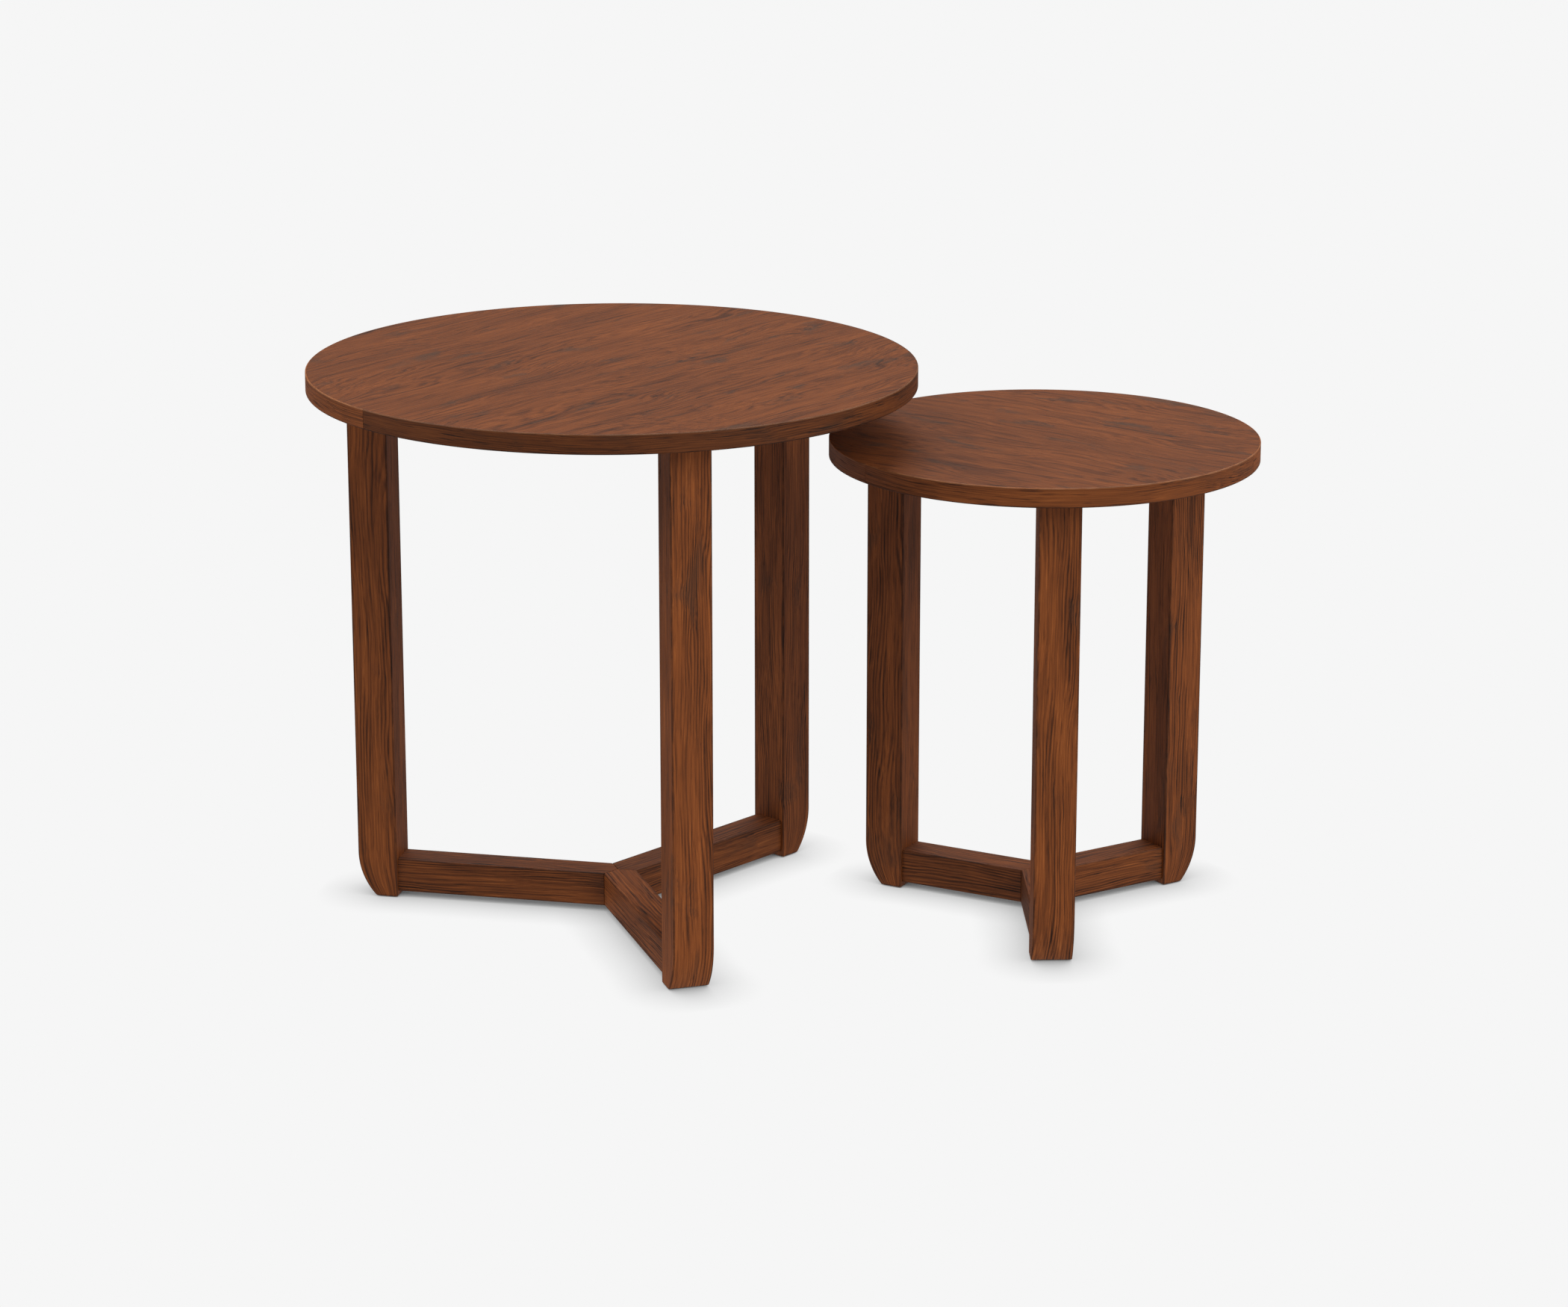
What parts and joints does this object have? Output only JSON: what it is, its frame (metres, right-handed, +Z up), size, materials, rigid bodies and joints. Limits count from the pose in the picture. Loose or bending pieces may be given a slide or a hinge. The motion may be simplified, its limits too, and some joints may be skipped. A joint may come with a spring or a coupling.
{
  "type": "nesting tables",
  "caption": "Pair of round wooden nesting tables on three-post Y bases, the lower one sliding in under the taller one's edge.",
  "frame": {"origin": "on the floor, below the middle of the pair's overall length and depth, with the small table where it stands in the picture", "axes": "+X from the large table's centre to the small table's centre, +Y away from the viewer of the picture, +Z up"},
  "size_m": [0.8754, 0.5598, 0.525],
  "materials": {
    "top_wood": "satin walnut-brown stain, open grain",
    "rim_wood": "satin walnut-brown stain, grain round the rim",
    "leg_wood": "satin walnut-brown stain, upright grain",
    "stretcher_wood": "satin walnut-brown stain, grain along the arm",
    "beech": "bare, fluted",
    "zinc_steel": "zinc plated",
    "brass": "bare",
    "nylon": "dark brown, matt"
  },
  "bodies": {
    "large_table": {"large_top_panel": "top_wood", "large_rim_band_1": "rim_wood", "large_rim_band_2": "rim_wood", "large_hub_plate": "zinc_steel", "large_front_leg": "leg_wood", "large_front_stretcher": "stretcher_wood", "large_front_tenon": "beech", "large_front_dowel": "beech", "large_front_bolt": "zinc_steel", "large_front_insert": "brass", "large_front_hub_screw": "zinc_steel", "large_front_glide": "nylon", "large_right_leg": "leg_wood", "large_right_stretcher": "stretcher_wood", "large_right_tenon": "beech", "large_right_dowel": "beech", "large_right_bolt": "zinc_steel", "large_right_insert": "brass", "large_right_hub_screw": "zinc_steel", "large_right_glide": "nylon", "large_left_leg": "leg_wood", "large_left_stretcher": "stretcher_wood", "large_left_tenon": "beech", "large_left_dowel": "beech", "large_left_bolt": "zinc_steel", "large_left_insert": "brass", "large_left_hub_screw": "zinc_steel", "large_left_glide": "nylon"},
    "small_table": {"small_top_panel": "top_wood", "small_rim_band_1": "rim_wood", "small_rim_band_2": "rim_wood", "small_rim_band_3": "rim_wood", "small_hub_plate": "zinc_steel", "small_front_leg": "leg_wood", "small_front_stretcher": "stretcher_wood", "small_front_tenon": "beech", "small_front_dowel": "beech", "small_front_bolt": "zinc_steel", "small_front_insert": "brass", "small_front_hub_screw": "zinc_steel", "small_front_glide": "nylon", "small_right_leg": "leg_wood", "small_right_stretcher": "stretcher_wood", "small_right_tenon": "beech", "small_right_dowel": "beech", "small_right_bolt": "zinc_steel", "small_right_insert": "brass", "small_right_hub_screw": "zinc_steel", "small_right_glide": "nylon", "small_left_leg": "leg_wood", "small_left_stretcher": "stretcher_wood", "small_left_tenon": "beech", "small_left_dowel": "beech", "small_left_bolt": "zinc_steel", "small_left_insert": "brass", "small_left_hub_screw": "zinc_steel", "small_left_glide": "nylon"}
  },
  "joints": [
    {"name": "nest_slide", "type": "slide", "parent": "large_table", "child": "small_table", "axis": [1, 0, 0], "range_m": [-0.097, 0.12]}
  ]
}
